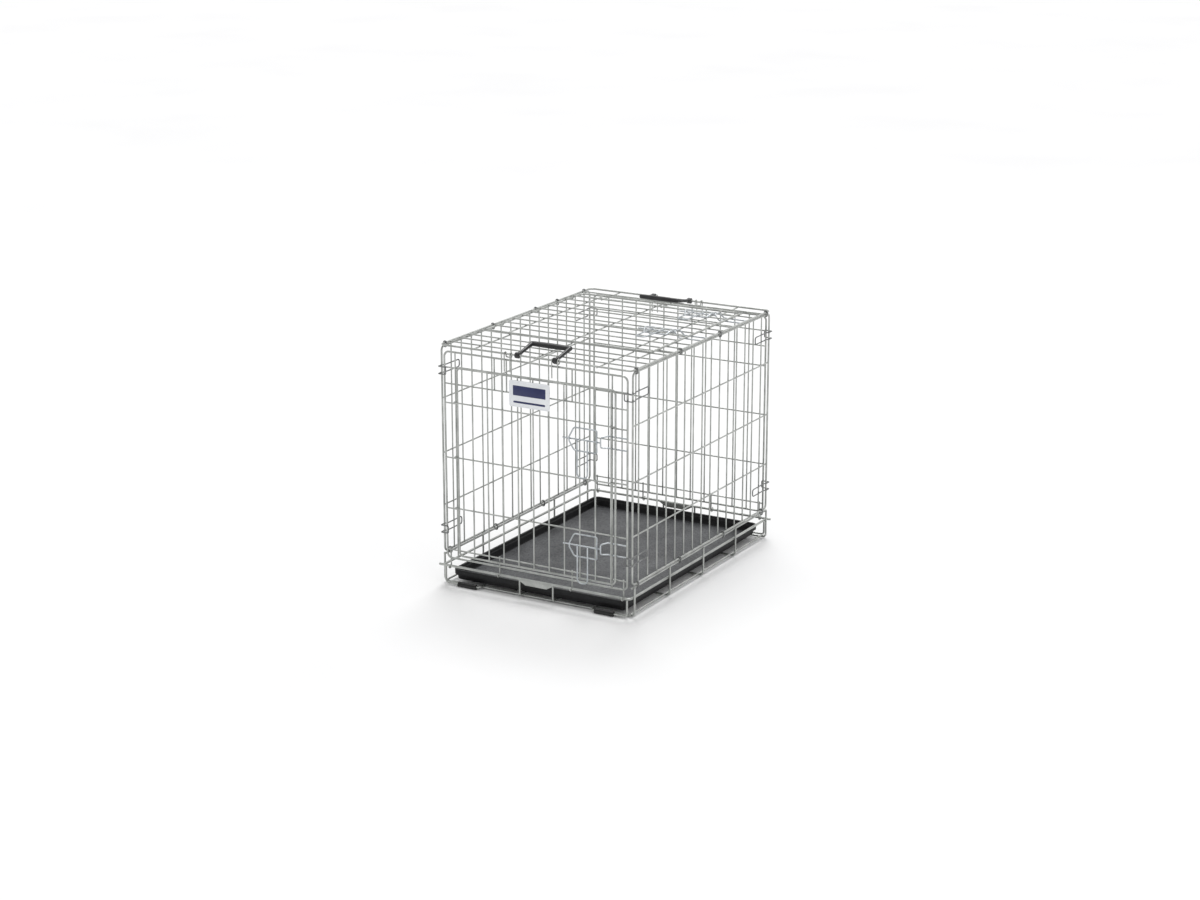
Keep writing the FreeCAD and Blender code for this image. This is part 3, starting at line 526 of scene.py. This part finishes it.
PLATE = {"thick": 1.6 * MM, "rim": 2.2 * MM, "clip_x": (-36 * MM, 34 * MM), "clip_low": 430 * MM,
         "clip_high": 438 * MM, "rod_y": -299.85 * MM, "clip_outer": 3.2 * MM, "clip_bore": 1.6 * MM}


def snap_clip(bm, x, plate_back):
    """A springy C that grips an upright of the door, on a short foot on the plate's back."""
    steps, half_open = 16, math.radians(120)
    sweep = [half_open * (2 * i / steps - 1) for i in range(steps + 1)]

    def spot(angle, radius):
        return Vector((x + radius * math.sin(angle), PLATE["rod_y"] - radius * math.cos(angle), 0))
    outline = ([spot(angle, PLATE["clip_outer"]) for angle in sweep]
               + [spot(angle, PLATE["clip_bore"]) for angle in reversed(sweep)])
    lift = Vector((0, 0, PLATE["clip_low"]))
    rise = Vector((0, 0, PLATE["clip_high"]))
    loft(bm, [[p + lift for p in outline], [p + rise for p in outline]])
    foot = 2 * MM
    slab(bm, x - foot, x + foot, PLATE["clip_low"], PLATE["clip_high"],
         PLATE["rod_y"] - PLATE["clip_bore"] - 0.4 * MM, plate_back - 0.4 * MM, 0.6 * MM, 0.1 * MM)


# two printed bars: (half width, height above the plate's foot, tallness) in millimetres
BARS = ((37, 23, 20), (36, 8, 4))
BAR = {"back": 0.6 * MM, "front": 0.12 * MM, "corner": 1.4 * MM, "soft": 0.05 * MM}


def sign_plate():
    """A card-like plate with a raised rim, two snap clips behind and two plain printed bars."""
    low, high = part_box("sign_plate")
    front = low.y
    back = front + PLATE["thick"]
    x0, x1, z0, z1 = low.x, high.x, low.z, high.z
    bm = bmesh.new()
    slab(bm, x0, x1, z0, z1, back, front + 0.3 * MM, 4 * MM, 0.25 * MM)
    rim = PLATE["rim"]
    for a, b, c, d in ((x0 + 3 * MM, x1 - 3 * MM, z0, z0 + rim), (x0 + 3 * MM, x1 - 3 * MM, z1 - rim, z1),
                       (x0, x0 + rim, z0 + 3 * MM, z1 - 3 * MM), (x1 - rim, x1, z0 + 3 * MM, z1 - 3 * MM)):
        slab(bm, a, b, c, d, front + 1.0 * MM, front, 1.0 * MM, 0.25 * MM)
    for x in PLATE["clip_x"]:
        snap_clip(bm, x, back)
    plate = piece("sign_plate_blank", bm, "plate_plastic", "front_door")
    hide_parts("sign_plate")

    bm = bmesh.new()
    middle = (x0 + x1) / 2
    for half, foot, tall in BARS:
        bottom = z0 + foot * MM
        slab(bm, middle - half * MM, middle + half * MM, bottom, bottom + tall * MM,
             front + BAR["back"], front + BAR["front"], BAR["corner"], BAR["soft"])
    piece("sign_plate_bars", bm, "plate_plastic", "front_door", "ink")


# ---------------------------------------------------------------- stage
# name, place, target, watts, width
LAMPS = (("fill", (3.2, -1.4, 2.0), (0, 0, 0.3), 5, 2.0),
         ("rim", (0.6, 3.2, 2.6), (0, 0, 0.3), 10, 1.6))
SUN = {"strength": 1.55, "spread": 26.0, "elevation": 58.0, "azimuth": 205.0}
SKY = {"light": 0.72, "seen": 1.0}


def even_sky():
    """A white sky that the camera sees brighter than it lights, so a low view has no grey band."""
    world = bpy.data.worlds.new("studio")
    world.use_nodes = True
    tree = world.node_tree
    sky = tree.nodes["Background"].inputs
    sky["Color"].default_value = (1.0, 1.0, 1.0, 1.0)
    path = tree.nodes.new("ShaderNodeLightPath")
    strength = tree.nodes.new("ShaderNodeMapRange")
    strength.inputs["To Min"].default_value = SKY["light"]
    strength.inputs["To Max"].default_value = SKY["seen"]
    tree.links.new(path.outputs["Is Camera Ray"], strength.inputs["Value"])
    tree.links.new(strength.outputs["Result"], sky["Strength"])
    bpy.context.scene.world = world


def stage():
    """A wide pale floor under an even sky, with one large soft key light and two soft lamps."""
    bpy.ops.mesh.primitive_plane_add(size=60.0, location=(0, 0, 0))
    floor = bpy.context.object
    floor.name = "studio_floor"
    floor.data.materials.append(floor_paper())
    even_sky()
    light = bpy.data.lights.new("key", "SUN")
    light.energy = SUN["strength"]
    light.angle = math.radians(SUN["spread"])
    key = bpy.data.objects.new("key", light)
    key.rotation_euler = (math.radians(90 - SUN["elevation"]), 0, math.radians(SUN["azimuth"]))
    bpy.context.scene.collection.objects.link(key)
    for name, place, target, power, width in LAMPS:
        light = bpy.data.lights.new(name, "AREA")
        light.energy = power
        light.size = width
        lamp = bpy.data.objects.new(name, light)
        lamp.location = place
        lamp.rotation_euler = (Vector(target) - Vector(place)).to_track_quat("-Z", "Y").to_euler()
        bpy.context.scene.collection.objects.link(lamp)


# place in metres, pitch below level and turn about Z in degrees, lens and sensor in millimetres
VIEW = {"place": (2.468, -4.332, 1.677), "pitch": 16.1, "turn": 29.9, "lens": 75.5, "sensor": 36.0}


def camera():
    """The viewpoint: from the right of the door end, well above the roof."""
    data = bpy.data.cameras.new("camera")
    data.sensor_width = VIEW["sensor"]
    data.lens = VIEW["lens"]
    data.clip_end = 100.0
    eye = bpy.data.objects.new("camera", data)
    eye.location = VIEW["place"]
    eye.rotation_euler = (math.radians(90 - VIEW["pitch"]), 0, math.radians(VIEW["turn"]))
    bpy.context.scene.collection.objects.link(eye)
    bpy.context.scene.camera = eye
    bpy.context.scene.view_settings.view_transform = "Standard"


dress_cad_nodes()
tray()
carry_handle("front_handle", -37.5 * MM, 12.3 * MM, 0.0)
carry_handle("back_handle", -26.5 * MM, 10.6 * MM, math.pi)
foot_sleeves()
sign_plate()
stage()
camera()
